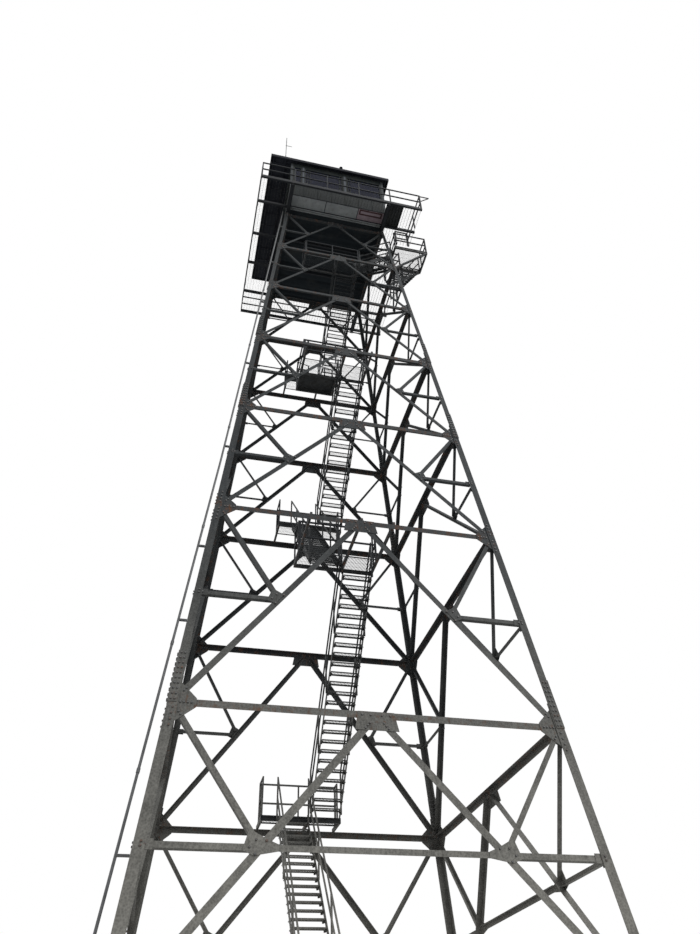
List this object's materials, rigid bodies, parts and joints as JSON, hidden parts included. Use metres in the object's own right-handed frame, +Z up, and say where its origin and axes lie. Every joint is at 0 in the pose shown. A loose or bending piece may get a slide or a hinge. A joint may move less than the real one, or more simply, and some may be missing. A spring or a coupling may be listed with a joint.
{
  "type": "fire lookout tower",
  "caption": "Steel lattice fire lookout tower with four leaning legs, zigzag stairs inside, an outside platform near the top, a railed catwalk and a square-cornered cab with wide eaves.",
  "frame": {"origin": "on the ground at the middle of the four legs", "axes": "+Z up, -Y the front side that faces the picture's viewer, +X to the right as seen from the front"},
  "size_m": [10.2696, 10.2696, 35.75],
  "materials": {
    "tower_steel": "weathered galvanised steel, dull, with light rust at the joints",
    "stair_steel": "galvanised steel, dull",
    "walkway_steel": "galvanised steel, worn and dirty",
    "conduit_grey": "zinc coated, matt",
    "cab_panels": "grey paint, weathered",
    "cab_door": "grey paint, weathered",
    "cab_floor": "weathered boards",
    "roofing": "dark weathered sheet",
    "window_glass": "dark reflecting glass",
    "concrete": "cast concrete, weathered"
  },
  "bodies": {
    "root": {"back_braces": "tower_steel", "back_gussets": "tower_steel", "back_railing": "stair_steel", "back_struts": "tower_steel", "back_sub_braces": "tower_steel", "back_sub_gussets": "tower_steel", "back_wall": "cab_panels", "cab_door": "cab_door", "cab_floor": "cab_floor", "catwalk_corner_plate": "walkway_steel", "catwalk_joists": "tower_steel", "catwalk_slats": "walkway_steel", "concrete_piers": "concrete", "conduit": "conduit_grey", "conduit_clamps": "conduit_grey", "front_braces": "tower_steel", "front_gussets": "tower_steel", "front_railing": "stair_steel", "front_struts": "tower_steel", "front_sub_braces": "tower_steel", "front_sub_gussets": "tower_steel", "front_wall": "cab_panels", "landing_guards": "stair_steel", "landing_joists": "tower_steel", "left_braces": "tower_steel", "left_gussets": "tower_steel", "left_railing": "stair_steel", "left_struts": "tower_steel", "left_sub_braces": "tower_steel", "left_sub_gussets": "tower_steel", "left_wall": "cab_panels", "leg_far_left": "tower_steel", "leg_far_right": "tower_steel", "leg_near_left": "tower_steel", "leg_near_right": "tower_steel", "leg_shoes": "tower_steel", "leg_splices": "tower_steel", "lower_stair_treads": "walkway_steel", "main_beams": "tower_steel", "outside_platform": "walkway_steel", "outside_stair_treads": "walkway_steel", "platform_braces": "tower_steel", "platform_guard": "stair_steel", "railing_bracket": "stair_steel", "right_braces": "tower_steel", "right_gussets": "tower_steel", "right_railing": "stair_steel", "right_struts": "tower_steel", "right_sub_braces": "tower_steel", "right_sub_gussets": "tower_steel", "right_wall": "cab_panels", "roof": "roofing", "roof_edge_boards": "roofing", "roof_mast": "conduit_grey", "roof_vent": "roofing", "stair_handrails": "stair_steel", "stair_landings": "walkway_steel", "stair_stringers": "stair_steel", "upper_stair_treads": "walkway_steel", "window_panes": "window_glass"}
  },
  "joints": []
}
